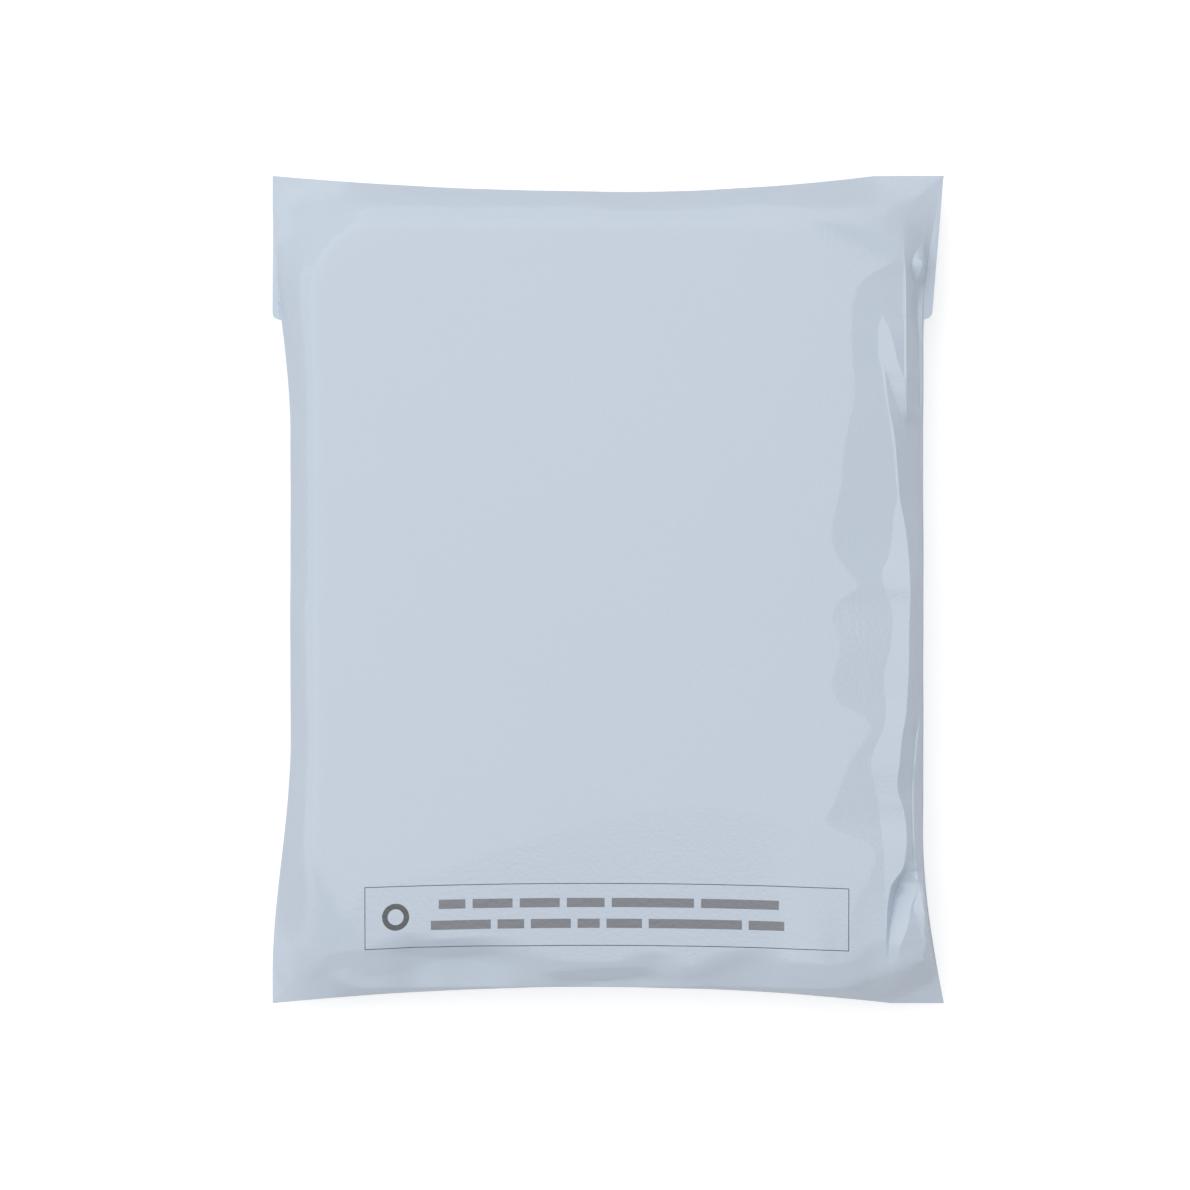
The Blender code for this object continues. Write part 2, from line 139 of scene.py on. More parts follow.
# A wall is made of strips of film between its lines, in order from the load's top out to the weld. Past
# its line, each strip falls away by its slopes, in degrees. A strip with slopes below 0 rises towards the
# weld and so faces the light. On the right, lines are (Y, X), slopes (Y, degrees), and cells is how many
# columns of the grid lie before the line
RIGHT_WALL = (
    {
        "name": "shoulder",
        "cells": 6,
        "line": (
            (188, 146.0), (166, 134.5), (156, 131.0), (148, 129.0), (145, 125.0), (142, 118.5),
            (138, 114.0), (130, 110.6), (117, 109.6), (85, 110.4), (67, 106.7), (49, 105.0),
            (14, 103.6), (6, 110.0), (0, 112.0), (-4, 105.4), (-27, 104.5), (-45, 101.0),
            (-51, 104.0), (-58, 116.0), (-77, 109.0), (-95, 102.2), (-107, 100.0),
            (-113, 115.0), (-128, 118.0), (-140, 112.0), (-160, 106.0), (-188, 104.0),
        ),
        "slopes": (
            (188, 3), (170, 4), (150, 5), (122, 6), (104, 6), (88, 4), (60, 5), (12, 5),
            (4, 4.4), (-4, 3.2), (-14, 2.6), (-40, 3.4), (-62, 4), (-110, 4), (-150, 3),
            (-188, 2),
        ),
    },
    {
        "name": "foot of the long fold",
        "cells": 12,
        "line": (
            (188, 148.0), (160, 128.0), (140, 122.6), (122, 122.6), (118, 121.6), (110, 121.4),
            (104, 121.6), (100, 122.7), (94, 123.6), (89, 124.4), (80, 125.8), (74, 126.8),
            (53, 129.3), (39, 129.8), (34, 128.6), (24, 127.8), (14, 125.8), (9, 123.4),
            (3, 123.6), (-5, 126.6), (-12, 128.0), (-20, 127.8), (-31, 125.8), (-37, 124.3),
            (-53, 124.8), (-62, 123.8), (-67, 121.6), (-73, 119.1), (-78, 118.0), (-83, 118.7),
            (-91, 120.7), (-108, 122.8), (-120, 123.9), (-133, 124.4), (-152, 124.2),
            (-188, 124.0),
        ),
        "slopes": (
            (125, 6), (121, -10), (101, -11), (86, -18), (76, -22), (60, -20), (40, -8),
            (30, -6), (8, -6), (-14, -9), (-24, -9), (-44, -6), (-128, -5), (-150, -6),
            (-156, 4),
        ),
    },
    {
        "name": "crest of the long fold",
        "cells": 7,
        "line": (
            (188, 148.4), (160, 128.4), (140, 123.0), (122, 122.9), (118, 122.9), (104, 123.6),
            (100, 124.2), (94, 124.8), (89, 125.3), (80, 126.6), (74, 127.9), (53, 130.2),
            (39, 131.5), (34, 132.5), (24, 134.2), (14, 135.1), (0, 135.7), (-20, 135.2),
            (-37, 135.0), (-47, 134.5), (-57, 133.7), (-67, 131.9), (-78, 130.9), (-88, 129.9),
            (-91, 130.2), (-98, 132.5), (-108, 134.0), (-120, 133.4), (-125, 132.4),
            (-133, 127.3), (-139, 126.0), (-152, 125.2), (-188, 125.0),
        ),
        "slopes": (
            (125, 6), (121, -10), (102, -10), (98, 24), (80, 28), (74, 42), (40, 48),
            (-120, 50), (-128, 62), (-148, 58), (-168, 8),
        ),
    },
    {
        "name": "foot of the hook's arm and of the corner fold",
        "cells": 5,
        "line": (
            (188, 148.8), (160, 128.8), (140, 123.4), (122, 123.2), (118, 123.2), (104, 123.8),
            (100, 124.4), (94, 126.3), (86, 128.8), (79, 131.5), (76, 132.6), (60, 133.4),
            (24, 136.4), (0, 137.2), (-37, 136.6), (-57, 135.4), (-78, 133.4), (-91, 132.6),
            (-108, 135.6), (-120, 134.8), (-127, 133.6), (-133, 131.1), (-139, 129.2),
            (-145, 127.9), (-157, 126.4), (-188, 128.0),
        ),
        "slopes": (
            (125, 6), (121, -11), (98, -11), (80, -14), (77, -14), (73, 42), (40, 48),
            (-122, 50), (-126, -16), (-138, -22), (-158, -22), (-178, 3),
        ),
    },
    {
        "name": "crest of the hook's arm and of the corner fold",
        "cells": 6,
        "line": (
            (188, 149.2), (160, 129.4), (140, 124.0), (122, 123.5), (118, 125.7), (110, 128.4),
            (104, 129.6), (100, 131.0), (96, 132.7), (78, 133.1), (60, 134.0), (24, 136.8),
            (0, 137.6), (-37, 137.0), (-57, 135.9), (-78, 133.9), (-91, 133.1), (-108, 136.1),
            (-120, 135.4), (-127, 134.0), (-130, 137.6), (-139, 137.8), (-142, 136.5),
            (-152, 134.5), (-157, 132.6), (-163, 130.6), (-172, 129.4), (-188, 129.0),
        ),
        "slopes": (
            (160, 6), (124, 8), (118, 14), (101, 26), (97, 30), (76, 42), (40, 48), (-122, 50),
            (-128, 40), (-141, 22), (-160, 16), (-172, 3),
        ),
    },
    {
        "name": "foot of the upper edge fold",
        "cells": 4,
        "line": (
            (188, 149.8), (168, 134.0), (160, 132.4), (140, 133.0), (78, 133.3), (60, 134.4),
            (24, 137.2), (0, 138.0), (-37, 137.4), (-57, 136.3), (-78, 134.4), (-91, 133.6),
            (-108, 136.5), (-120, 135.8), (-127, 135.0), (-130, 137.8), (-139, 138.0),
            (-142, 137.1), (-152, 139.6), (-157, 140.6), (-163, 142.6), (-170, 146.0),
            (-188, 149.0),
        ),
        "slopes": (
            (168, 5), (158, 4), (140, -8), (112, -24), (79, -30), (75, 42), (40, 48),
            (-122, 50), (-130, 0), (-141, 12), (-170, 8),
        ),
    },
    {
        "name": "crest of the upper edge fold",
        "cells": 3,
        "line": (
            (188, 150.2), (168, 135.0), (160, 133.4), (140, 133.9), (78, 134.2), (60, 134.8),
            (24, 137.6), (0, 138.4), (-37, 137.8), (-57, 136.7), (-78, 134.9), (-91, 134.1),
            (-108, 136.9), (-120, 136.2), (-127, 136.0), (-130, 138.0), (-139, 138.2),
            (-142, 137.3), (-152, 139.8), (-157, 140.8), (-163, 142.8), (-170, 146.2),
            (-188, 149.3),
        ),
        "slopes": (
            (168, 5), (158, 20), (150, 40), (140, 54), (134, 62), (84, 62), (74, 46), (20, 48),
            (4, 58), (-60, 56), (-74, 46), (-122, 46), (-130, 0), (-141, 12), (-170, 8),
        ),
    },
    {
        "name": "foot of the teardrop and of the edge fin",
        "cells": 8,
        "line": (
            (188, 150.6), (168, 144.0), (156, 141.2), (152, 138.3), (148, 137.0), (143, 137.4),
            (139, 138.4), (130, 140.0), (110, 139.8), (0, 139.8), (-58, 140.2), (-67, 138.6),
            (-73, 138.0), (-127, 137.9), (-130, 138.1), (-139, 138.4), (-142, 137.5),
            (-152, 140.0), (-157, 141.0), (-163, 143.0), (-170, 146.4), (-188, 149.6),
        ),
        "slopes": (
            (162, 10), (157, -24), (140, -24), (134, 56), (-56, 54), (-62, -16), (-127, -20),
            (-135, -18), (-150, -26), (-166, -26), (-176, 0),
        ),
    },
    {
        "name": "crest of the teardrop and of the edge fin",
        "cells": 4,
        "line": (
            (188, 151.0), (168, 145.0), (156, 142.5), (148, 141.9), (143, 140.5), (139, 139.0),
            (130, 140.4), (110, 140.2), (0, 140.2), (-58, 140.6), (-73, 139.0), (-127, 139.1),
            (-139, 141.0), (-152, 143.4), (-170, 148.0), (-188, 150.8),
        ),
        "slopes": (
            (162, 20), (156, 56), (-125, 56), (-135, 10), (-170, 6), (-188, 4),
        ),
    },
)
WALL_CELLS = 4
DROP_CELLS = 4
FIN_CELLS = 2
DROP_WIDTH = 0.3
LEAST_STRIP = 0.12
SHOULDER_ROUNDING = 4.0
FOLLOW_PASSES = 4

# At the bottom, lines are (X, distance below the middle of the bag), and slopes (X, degrees)
BOTTOM_WALL = (
    {
        "name": "shoulder",
        "line": (
            (-152, 188), (-134, 170), (-119, 146), (-110, 128), (-80, 108), (-50, 96),
            (118, 96), (152, 150),
        ),
        "slopes": (
            (-140, 0), (-100, 0.3), (118, 0.3), (150, 0),
        ),
    },
    {
        "name": "first droop",
        "line": (
            (-152, 190), (-147, 184), (-134, 172), (-131, 159), (-119, 150), (-110, 136),
            (-95, 132), (118, 132), (128, 142), (152, 170),
        ),
        "slopes": (
            (-140, 1), (-100, 2.3), (60, 2.3), (76, 2.0), (84, 0.4), (96, 0.6), (104, 1.6),
            (118, 2.2), (150, 1),
        ),
    },
    {
        "name": "first fall",
        "line": (
            (-152, 191), (-146, 186), (-134, 174), (-128, 166), (-119, 163), (-107, 161.7),
            (-96, 157.2), (-89, 154.5), (-80, 157.2), (-62, 156.4), (-50, 157.6), (-42, 160.6),
            (-34, 164.4), (-27, 166.6), (-8, 167.8), (10, 166.8), (19, 163.4), (25, 165.0),
            (30, 169.2), (41, 169.2), (50, 165.0), (59, 162.6), (71, 163.5), (75, 167.0),
            (86, 168.0), (104, 168.6), (112, 165.6), (118, 160.6), (123, 158.0), (130, 161.5),
            (140, 168.0), (152, 178),
        ),
        "slopes": (
            (-140, 6), (-126, 18), (-100, 28), (70, 30), (84, 22), (108, 15), (118, 14),
            (128, 6), (140, 2), (152, 1),
        ),
    },
    {
        "name": "creases",
        "line": (
            (-152, 192), (-130, 174), (-110, 166), (-99, 162.7), (-89, 158.6), (-67, 157.6),
            (-54, 159.4), (-44, 163.6), (-35, 168.8), (-28, 171.6), (-19, 172.0), (-8, 170.8),
            (10, 170.4), (18, 170.4), (22, 172.4), (32, 173.2), (41, 172.0), (50, 168.0),
            (57, 165.5), (64, 167.0), (72, 174.6), (80, 173.8), (95, 176.0), (114, 177.0),
            (152, 186),
        ),
        "slopes": (
            (-140, 6), (-110, 26), (-96, 44), (-50, 44), (-40, 30), (-30, 34), (-20, 56),
            (14, 54), (24, 38), (62, 40), (70, 28), (80, 30), (100, 22), (110, 14), (124, 7),
            (140, 2), (152, 1),
        ),
    },
    {
        "name": "foot of the creases",
        "line": (
            (-152, 193), (-130, 176), (-110, 167), (-99, 163.8), (-85, 166.0), (-67, 166.4),
            (-50, 165.2), (-42, 167.6), (-34, 171.4), (-28, 174.4), (-8, 178.6), (10, 178.8),
            (20, 178.0), (41, 176.0), (50, 174.6), (57, 171.0), (64, 168.6), (72, 177.0),
            (84, 179.4), (108, 179.6), (114, 178.4), (152, 188),
        ),
        "slopes": (
            (-140, 6), (-120, 20), (-100, 24), (-46, 28), (-34, 28), (-22, 6), (12, 6),
            (26, 30), (70, 26), (84, 18), (108, 14), (126, 7), (140, 2), (152, 1),
        ),
    },
    {
        "name": "swell",
        "line": (
            (-152, 194), (-132, 176.5), (-119, 169.4), (-112, 173.9), (-94, 172.6),
            (-80, 168.1), (-67, 166.9), (-49, 168.6), (-42, 171.2), (-34, 175.4), (-28, 177.2),
            (-8, 179.2), (10, 179.3), (22, 179.0), (60, 182.0), (152, 190),
        ),
        "slopes": (
            (-140, 5), (-110, 5), (-46, 4), (-38, 24), (-30, 34), (40, 28), (70, 24), (84, 18),
            (108, 14), (126, 7), (140, 2), (152, 1),
        ),
    },
)

SHARP_ANGLE = math.radians(28.0)
TINY = 1e-9

# Film and ink, as linear colours
FILM_COLOUR = (0.507, 0.576, 0.670, 1.0)
FILM_ROUGHNESS = (0.10, 0.16)
CLOUD_SCALE = 14.0
CLOUD_GAIN = 1.02
SMEAR_SCALE = 40.0
GRAIN_SCALE = 600.0
GRAIN_STRENGTH = 0.35
GRAIN_DEPTH = 0.0003
INK_COLOUR = (0.085, 0.087, 0.095, 1.0)
BAR_COLOUR = (0.19, 0.20, 0.225, 1.0)

# The print near the bottom: an outlined panel that follows the film
PRINT_LEFT = -0.1097
PRINT_WIDTH = 0.2180
PRINT_BASE = -0.1623
PRINT_HEIGHT = 0.0284
PRINT_TILT = -0.0006
PRINT_BOW = 0.0022

# What the panel shows, in millimetres from its lower left corner: rows of bars and a ring
PANEL_LINE = 0.40
BAR_HEIGHT = 4.2
BAR_ROWS = (
    {"middle": 19.6, "start": 33.4, "gap": 3.2, "lengths": (12, 18, 18, 17, 37, 35)},
    {"middle": 10.2, "start": 29.8, "gap": 3.0, "lengths": (27, 12, 18, 10, 16, 42, 16)},
)
RING_MIDDLE = (14.0, 14.4)
RING_RADIUS = 4.85
RING_LINE = 2.5

# The floor, and how much whiter than lit the camera sees it
FLOOR_SIZE = 12.0
FLOOR_DROP = 0.0004
FLOOR_COLOUR = (0.78, 0.78, 0.78, 1.0)
FLOOR_ROUGHNESS = 0.9
FLOOR_GLOW = 0.45

# Square-cornered softboxes. Radiance 1 shows as white where a lamp is seen reflected
LAMPS = (
    {
        "name": "softbox_above",
        "place": (-1.28, 1.275, 2.5),
        "target": (-1.28, 1.275, 0.0),
        "size": (3.6, 3.75),
        "radiance": 1.045,
    },
    {
        "name": "softbox_left",
        "place": (-3.2, 0.0, 1.3),
        "target": (0.0, 0.0, 0.0),
        "size": (3.2, 2.2),
        "radiance": 0.6,
    },
    {
        "name": "softbox_top",
        "place": (0.0, 3.2, 1.3),
        "target": (0.0, 0.0, 0.0),
        "size": (3.2, 2.2),
        "radiance": 0.65,
    },
    {
        "name": "softbox_corner",
        "place": (1.9, -2.6, 1.3),
        "target": (0.0, 0.0, 0.0),
        "size": (3.2, 2.2),
        "radiance": 0.25,
    },
)

# The world's light on the film, and what reflections and the camera see of it
WORLD_LIGHT = 0.60
WORLD_SEEN = 1.0

# The photograph's view: straight down
VIEW_CENTRE = (-0.00604, -0.0025)
VIEW_WIDTH = 0.5422
OUTLINE_HEIGHT = 0.013
LENS = 135.0
SENSOR = 36.0
VIEW_END = 50.0


def mix(start, end, share):
    return start + (end - start) * share


def clamp(value):
    return np.clip(value, 0.0, 1.0)


def smooth(share):
    share = clamp(share)
    return share * share * (3.0 - 2.0 * share)


def left_share(along):
    from_corner = np.minimum(along, BAG_LENGTH - along)
    turn = clamp((from_corner - LEFT_DRAW_START) / (LEFT_DRAW_END - LEFT_DRAW_START))
    return np.sin(turn * math.pi / 2) ** LEFT_DRAW_POWER


def right_share(along):
    from_corner = np.minimum(along, BAG_LENGTH - along)
    return np.sin(clamp(from_corner / RIGHT_DRAW_END) * math.pi / 2)


def end_share(across, reach):
    """How far the top or bottom edge is drawn in, as a share of its most: a parabola each way."""
    left_reach, right_reach = reach
    straight = max(0.0, BAG_WIDTH - left_reach - right_reach)
    deepest = left_reach / (left_reach + right_reach) * (BAG_WIDTH - straight)
    offset = across - deepest
    return 1.0 - clamp(np.abs(offset) / np.where(offset < 0, left_reach, right_reach)) ** 2


def left_edge(along):
    return -BAG_WIDTH / 2 + LEFT_DRAW * left_share(along)


def right_edge(along):
    return BAG_WIDTH / 2 - RIGHT_DRAW * right_share(along)


def top_edge(across):
    return BAG_LENGTH / 2 - TOP_DRAW * end_share(across, TOP_REACH)


def bottom_edge(across):
    return -BAG_LENGTH / 2 + BOTTOM_DRAW * end_share(across, BOTTOM_REACH)


def flap_edges(along):
    """(left, right, whether there is a flap) at each row."""
    up = along - (BAG_LENGTH - FLAP_LENGTH)
    short = FLAP_CORNER_RADIUS - np.clip(up, 0.0, FLAP_CORNER_RADIUS)
    rounding = FLAP_CORNER_RADIUS - np.sqrt(FLAP_CORNER_RADIUS**2 - short**2)
    taper = FLAP_RIGHT_TAPER * (1.0 - np.maximum(up, 0.0) / FLAP_LENGTH)
    return -BAG_WIDTH / 2 + rounding, BAG_WIDTH / 2 - taper - rounding, up > -FLAP_STEP_LENGTH / 4


def through(stations, run):
    """The value at each run on a smooth curve through stations of (run, value)."""
    at, values = np.array(sorted(stations), float).T
    tangents = np.gradient(values, at)
    spot = np.clip(np.searchsorted(at, run) - 1, 0, len(at) - 2)
    span = at[spot + 1] - at[spot]
    share = clamp((run - at[spot]) / span)
    start, end = values[spot], values[spot + 1]
    start_slope, end_slope = tangents[spot] * span, tangents[spot + 1] * span
    square, cube = share**2, share**3
    return (
        start * (2 * cube - 3 * square + 1)
        + start_slope * (cube - 2 * square + share)
        + end * (3 * square - 2 * cube)
        + end_slope * (cube - square)
    )


def soft_ramp(distance, rounding):
    """0 before 0 and distance past it, with a rounded bend."""
    rounded = 0.5 * (distance + np.sqrt(distance**2 + rounding**2))
    return rounded - 0.5 * rounding * np.exp(-np.abs(distance) / rounding)


def soft_least(first, second, rounding):
    """The lower of the two, with a rounded bend where they cross."""
    return 0.5 * (first + second - np.sqrt((first - second) ** 2 + rounding**2))


def corner_height(corner, x, y):
    """Height of the film over an empty corner: a slope that ends in a flat ear."""
    heading = math.radians(corner["heading"])
    beside = BAG_WIDTH / 2 - corner["side"] * x
    beyond = BAG_LENGTH / 2 - corner["end"] * y
    from_tip = math.cos(heading) * beside + math.sin(heading) * beyond
    past_ear = soft_ramp(from_tip - corner["ear"] * MM, CORNER_ROUNDING)
    return corner["tip"] * MM + math.tan(math.radians(corner["slope"])) * past_ear


def wave(run, waves):
    """A sum of sines along the run, each wave as (length, share of the whole, turn)."""
    return sum(share * np.sin(2 * math.pi * run / length + turn) for length, share, turn in waves)


def gathered(width, run):
    """The width of the underside's curve at this run, wider and narrower with the gathers."""
    return width * (1 + GATHER * wave(run, GATHER_WAVES))


def line_places(wall, run):
    """Where each line of a wall lies at each run, as arrays, each a little past the one before it."""
    places = []
    for strip in wall:
        place = through(strip["line"], run)
        if places:
            place = np.maximum(place, places[-1] + LEAST_STRIP)
        places.append(place)
    return places


def steepness(slopes, run):
    """Fall per millimetre at each run, from points of (run, degrees)."""
    points = sorted(slopes)
    falls = [math.tan(math.radians(degrees)) for _, degrees in points]
    return np.interp(run, [at for at, _ in points], falls)


def wall_fall(wall, places, run, across):
    """Height lost to the strips of a wall, in millimetres, with the first bend rounded."""
    fall = 0.0
    for n, (strip, place) in enumerate(zip(wall, places)):
        past = np.maximum(across - place, 0.0)
        if n == 0:
            past = soft_ramp(across - place, SHOULDER_ROUNDING)
        if n + 1 < len(places):
            past = past - np.maximum(across - places[n + 1], 0.0)
        fall = fall + steepness(strip["slopes"], run) * past
    return fall


def right_places(along, y):
    """The lines of the right wall in millimetres, then the weld's foot and outer edge."""
    weld = (right_edge(along) - WELD_FIN) / MM
    foot = weld - DROP_WIDTH
    places = line_places(RIGHT_WALL, y / MM)
    from_foot = range(len(places), 0, -1)
    places = [np.minimum(place, foot - LEAST_STRIP * count) for place, count in zip(places, from_foot)]
    return places + [foot, weld, right_edge(along) / MM]


def column_plan():
    """(across for the plain columns, (line before, share of the way to the next line) for the rest)."""
    plain = spread(PLAIN_COLUMNS)
    cells = [strip["cells"] for strip in RIGHT_WALL] + [WALL_CELLS, DROP_CELLS, FIN_CELLS]
    follow = [
        (line, 0.5 - 0.5 * math.cos(math.pi * (step + 1) / count))
        for line, count in enumerate(cells)
        for step in range(count)
    ]
    return plain, follow


class Film:
    """Plan and heights of the whole film grid, as arrays of rows by columns."""

    def __init__(self, rows):
        plain, follow = column_plan()
        across = np.concatenate((plain, np.linspace(plain[-1], BAG_WIDTH, len(follow) + 1)[1:]))
        self.across, self.along = np.meshgrid(across, rows)
        self.v = self.along / BAG_LENGTH
        for _ in range(FOLLOW_PASSES):
            self.follow_lines(len(plain), follow)
        self.u = self.across / BAG_WIDTH
        self.seam = self.seam_height()
        self.flap_left, self.flap_right, self.has_flap = flap_edges(self.along)

    def follow_lines(self, first, follow):
        """Moves the right-hand columns onto the lines of the right wall."""
        along = self.along[:, first:]
        y = mix(bottom_edge(self.across), top_edge(self.across), self.v)[:, first:]
        left, right = left_edge(along), right_edge(along)
        start = (left + (right - left) * self.across[:, first - 1 : first] / BAG_WIDTH) / MM
        places = [start] + right_places(along, y)
        for column, (line, share) in enumerate(follow):
            x = mix(places[line][:, column], places[line + 1][:, column], share) * MM
            width = right[:, column] - left[:, column]
            self.across[:, first + column] = (x - left[:, column]) / width * BAG_WIDTH

    def seam_height(self):
        """Height of the weld: low at the corner tips, higher beside the load, and swaying a little."""
        side = mix(left_share(self.along), right_share(self.along), self.u)
        bottom, top = end_share(self.across, BOTTOM_REACH), end_share(self.across, TOP_REACH)
        end = mix(bottom, top, self.v)
        raised = 1.0 - (1.0 - side) * (1.0 - end)
        sway = wave(self.along + self.across, SEAM_WAVES) * SEAM_SWAY * raised
        return mix(CORNER_HEIGHT, SEAM_HEIGHT, raised) + sway

    def plan(self, left, right, bead=0.0):
        x = mix(left, right, self.u)
        y = mix(bottom_edge(self.across) - bead, top_edge(self.across) + bead, self.v)
        return x, y

    def slope_share(self, x, y):
        """(share, power): share is 1 where the film meets itself at the edges, and 0 on the load."""
        edge = np.minimum(
            np.minimum(x - left_edge(self.along), right_edge(self.along) - x) - WELD_FIN,
            np.minimum(top_edge(self.across) - y, y - bottom_edge(self.across)),
        )
        beside = np.maximum(LOAD_LEFT + LOAD_CORNER_RADIUS - x, x - LOAD_RIGHT + LOAD_CORNER_RADIUS)
        beyond = np.maximum(LOAD_BOTTOM + LOAD_CORNER_RADIUS - y, y - LOAD_TOP + LOAD_CORNER_RADIUS)
        out = np.hypot(np.maximum(beside, 0.0), np.maximum(beyond, 0.0)) - LOAD_CORNER_RADIUS
        out = np.maximum(out, 0.0)
        share = out / (out + np.maximum(edge, TINY))
        at_corner = smooth(np.minimum(beside, beyond) / LOAD_CORNER_RADIUS)
        return share, mix(SLOPE_POWER, CORNER_SLOPE_POWER, at_corner)

    def front(self):
        x, y = self.plan(left_edge(self.along), right_edge(self.along))
        share, power = self.slope_share(x, y)
        full = 1.0 - share**power
        middle = (1.0 - (2 * self.u - 1.0) ** 2) * (1.0 - (2 * self.v - 1.0) ** 2)
        rim = self.seam + EDGE_THICKNESS / 2
        right = right_places(self.along, y)[: len(RIGHT_WALL)]
        bottom = line_places(BOTTOM_WALL, x / MM)
        fall = wall_fall(RIGHT_WALL, right, y / MM, x / MM)
        fall = fall + wall_fall(BOTTOM_WALL, bottom, x / MM, -y / MM)
        body = LOAD_HEIGHT + CROWN * middle
        for corner in CORNERS:
            body = soft_least(body, corner_height(corner, x, y), CORNER_ROUNDING)
        body = np.maximum(body - fall * MM - rim, LEAST_BODY)
        return np.stack((x, y, rim + full * body), -1)

    def outer(self, bead):
        left = left_edge(self.along) - bead
        right = right_edge(self.along) + bead
        left = np.where(self.has_flap, np.minimum(self.flap_left, left), left)
        right = np.where(self.has_flap, np.maximum(self.flap_right, right), right)
        return left, right

    def rim(self):
        x, y = self.plan(*self.outer(WELD_BEAD), WELD_BEAD)
        return np.stack((x, y, self.seam), -1)

    def belly(self, x, y):
        """1 at the seam and 0 where the underside lies flat on the ground."""
        beside = np.minimum(
            (x - left_edge(self.along)) / gathered(LEFT_BELLY, y),
            (right_edge(self.along) - x) / gathered(RIGHT_BELLY, y + RIGHT_GATHER_TURN),
        )
        beyond = np.minimum(
            (y - bottom_edge(self.across)) / gathered(BOTTOM_BELLY, x),
            (top_edge(self.across) - y) / gathered(TOP_BELLY, x + TOP_GATHER_TURN),
        )
        out = np.minimum(np.hypot(1.0 - clamp(beside), 1.0 - clamp(beyond)), 1.0)
        return (1.0 - np.sqrt(1.0 - out**2)) ** BELLY_POWER

    def back(self):
        x, y = self.plan(*self.outer(0.0))
        seam = self.seam - EDGE_THICKNESS / 2
        below_flap = BAG_LENGTH - FLAP_LENGTH - self.along
        lift = np.where(below_flap > TINY, FLAP_STEP * clamp(1.0 - below_flap / FLAP_STEP_FADE), 0.0)
        crossed = wave(x + RIPPLE_TURN * y, RIPPLE_WAVES) * wave(y, RIPPLE_WAVES)
        ripple = UNDER_RIPPLE * np.maximum(crossed, 0.0)
        z = mix(lift + ripple, seam, self.belly(x, y))
        on_side = (self.u < TINY) | (self.u > 1 - TINY)
        z = np.where(on_side & self.has_flap, self.seam - FLAP_THICKNESS, z)
        return np.stack((x, y, z), -1)


def spread(zones):
    """Grid lines from 0 through each zone."""
    lines = [0.0]
    for end, cells in zones:
        first = lines[-1]
        lines += [mix(first, end, (step + 1) / cells) for step in range(cells)]
    return np.array(lines)


def grid_faces(rows, columns, start):
    """Quads of a grid of points numbered row by row from start, facing up."""
    corner = start + np.arange(rows - 1)[:, None] * columns + np.arange(columns - 1)[None, :]
    return np.stack((corner, corner + 1, corner + columns + 1, corner + columns), -1).reshape(-1, 4)


def border(rows, columns):
    """Point numbers round the edge of a grid, counterclockwise."""
    bottom = list(range(columns))
    right = [row * columns + columns - 1 for row in range(1, rows)]
    top = [(rows - 1) * columns + column for column in range(columns - 2, -1, -1)]
    left = [row * columns for row in range(rows - 2, 0, -1)]
    return np.array(bottom + right + top + left)


def ring_faces(upper, lower):
    """Quads between two rings of points, facing out."""
    return np.stack((lower, np.roll(lower, -1), np.roll(upper, -1), upper), -1)


def closed_film(front, rim, back):
    """(points, faces) of the closed film: front, back, and the rim that joins their edges."""
    rows, columns = front.shape[:2]
    edge = border(rows, columns)
    count = rows * columns
    rim_points = rim.reshape(-1, 3)[edge]
    points = np.concatenate((front.reshape(-1, 3), back.reshape(-1, 3), rim_points))
    rim_ring = 2 * count + np.arange(len(edge))
    faces = np.concatenate(
        (
            grid_faces(rows, columns, 0),
            grid_faces(rows, columns, count)[:, ::-1],
            ring_faces(edge, rim_ring),
            ring_faces(rim_ring, edge + count),
        )
    )
    return points, faces


def add_print_map(mesh):
    """A UV map in which the printed panel is the unit square, bowed and tilted as the film is."""
    points = np.array([v.co for v in mesh.vertices])
    share = (points[:, 0] - PRINT_LEFT) / PRINT_WIDTH
    base = PRINT_BASE + PRINT_TILT * share + PRINT_BOW * 4 * share * (1 - share)
    height = (points[:, 1] - base) / PRINT_HEIGHT
    layer = mesh.uv_layers.new(name="print")
    corners = np.array([loop.vertex_index for loop in mesh.loops])
    layer.data.foreach_set("uv", np.stack((share, height), -1)[corners].ravel())


def film_piece():
    film = Film(spread(ROW_ZONES))
    points, faces = closed_film(film.front(), film.rim(), film.back())
    mesh = bpy.data.meshes.new("film")
    mesh.from_pydata(points.tolist(), [], faces.tolist())
    mesh.validate()
    mesh.shade_smooth()
    mesh.set_sharp_from_angle(angle=SHARP_ANGLE)
    add_print_map(mesh)
    piece = bpy.data.objects.new("film", mesh)
    bpy.context.scene.collection.objects.link(piece)
    return piece


